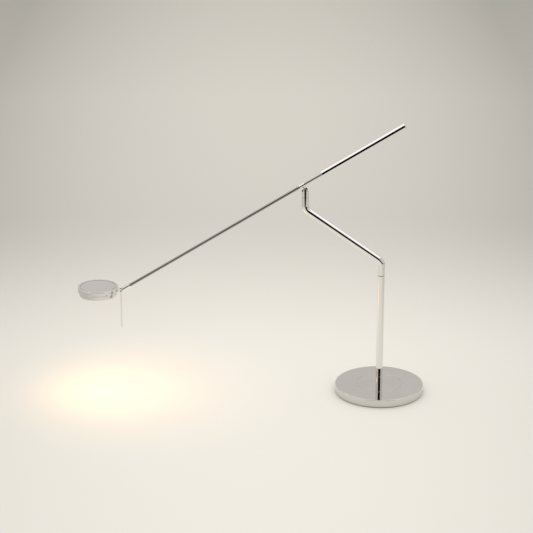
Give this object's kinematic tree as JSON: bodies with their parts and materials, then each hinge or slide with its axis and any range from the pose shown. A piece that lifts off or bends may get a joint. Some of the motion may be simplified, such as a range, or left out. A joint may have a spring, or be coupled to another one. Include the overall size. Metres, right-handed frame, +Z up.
{
  "type": "counterweight balance desk lamp",
  "caption": "Desk lamp with a weighted disc base, a turning bent stem, a counterweighted balance arm on a fork and a flat round lamp head with an aiming rod.",
  "frame": {"origin": "centre of the base, on the desk surface that the pad rests on", "axes": "+Z up; the arm and the bent stem lie in the X-Z plane at rest, with the lamp head towards -X and the counterweight towards +X; the cord gland is on the +Y side"},
  "size_m": [0.7014, 0.1812, 0.5689],
  "materials": {
    "polished_chrome": "polished",
    "chromed_aluminium": "chrome-plated, polished",
    "bright_aluminium": "bright, anodised",
    "zinc_steel": "zinc-plated",
    "black_screw": "black oxide",
    "iron": "as cast",
    "brass": "turned",
    "black_nylon": "matte",
    "fibre": "matte",
    "white_nylon": "matte",
    "white_ceramic": "unglazed",
    "black_rubber": "matte",
    "pad_rubber": "ribless, matte",
    "inner_lead": "sheathed",
    "satin_glass": "satin",
    "quartz_glass": "clear"
  },
  "bodies": {
    "base": {"foot_pad": "pad_rubber", "base_bottom_plate": "zinc_steel", "bottom_plate_screws": "zinc_steel", "base_weight": "iron", "base_cover": "polished_chrome", "cord_gland": "black_rubber", "terminal_block": "white_nylon", "post_foot": "zinc_steel", "foot_washer": "zinc_steel", "foot_nut": "zinc_steel", "post_lead": "inner_lead", "post_tube": "polished_chrome", "post_bush": "black_nylon", "stem_seat": "brass", "stem_stop_screw": "black_screw"},
    "stem": {"stem_tube": "polished_chrome", "stem_spigot": "brass", "stem_lead": "inner_lead", "stem_sleeve": "polished_chrome", "fork_stop_screw": "black_screw", "fork_washer": "black_nylon"},
    "fork": {"fork_head": "polished_chrome", "pivot_screws": "black_screw", "friction_washers": "fibre", "fork_lead": "inner_lead"},
    "arm": {"arm_tongue": "polished_chrome", "arm_tube": "polished_chrome", "arm_end_plug": "brass", "arm_lead": "inner_lead", "tail_rod": "polished_chrome", "counterweight": "polished_chrome", "counterweight_screw": "black_screw"},
    "ferrule": {"swivel_ferrule": "polished_chrome", "ferrule_screw": "black_screw"},
    "head": {"head_knuckle": "polished_chrome", "knuckle_screws": "black_screw", "neck_nut": "zinc_steel", "handle_rod": "polished_chrome", "head_housing": "chromed_aluminium", "head_cap": "chromed_aluminium", "shade_ring": "chromed_aluminium", "shade_screws": "black_screw", "lens_glass": "satin_glass", "lens_ring": "zinc_steel", "reflector": "bright_aluminium", "lamp_holder": "white_ceramic", "holder_screws": "zinc_steel", "capsule_glass": "quartz_glass", "capsule_pins": "zinc_steel", "head_lead": "inner_lead"}
  },
  "joints": [
    {"name": "stem_swivel", "type": "hinge", "parent": "base", "child": "stem", "pos_m": [0, 0, 0.2515], "axis": [0, 0, 1], "range_deg": [-150, 150]},
    {"name": "arm_swivel", "type": "hinge", "parent": "stem", "child": "fork", "pos_m": [-0.1538, 0, 0.41758], "axis": [0, 0, 1], "range_deg": [-150, 150]},
    {"name": "arm_tilt", "type": "hinge", "parent": "fork", "child": "arm", "pos_m": [-0.1538, 0, 0.43128], "axis": [0, 1, 0], "range_deg": [-18.7, 71.3]},
    {"name": "head_roll", "type": "hinge", "parent": "arm", "child": "ferrule", "pos_m": [-0.52459, 0, 0.21959], "axis": [0.8545, 0, 0.5195], "range_deg": [-90, 90]},
    {"name": "head_tilt", "type": "hinge", "parent": "ferrule", "child": "head", "pos_m": [-0.52459, 0, 0.21959], "axis": [0, 1, 0], "range_deg": [-50, 42]}
  ]
}
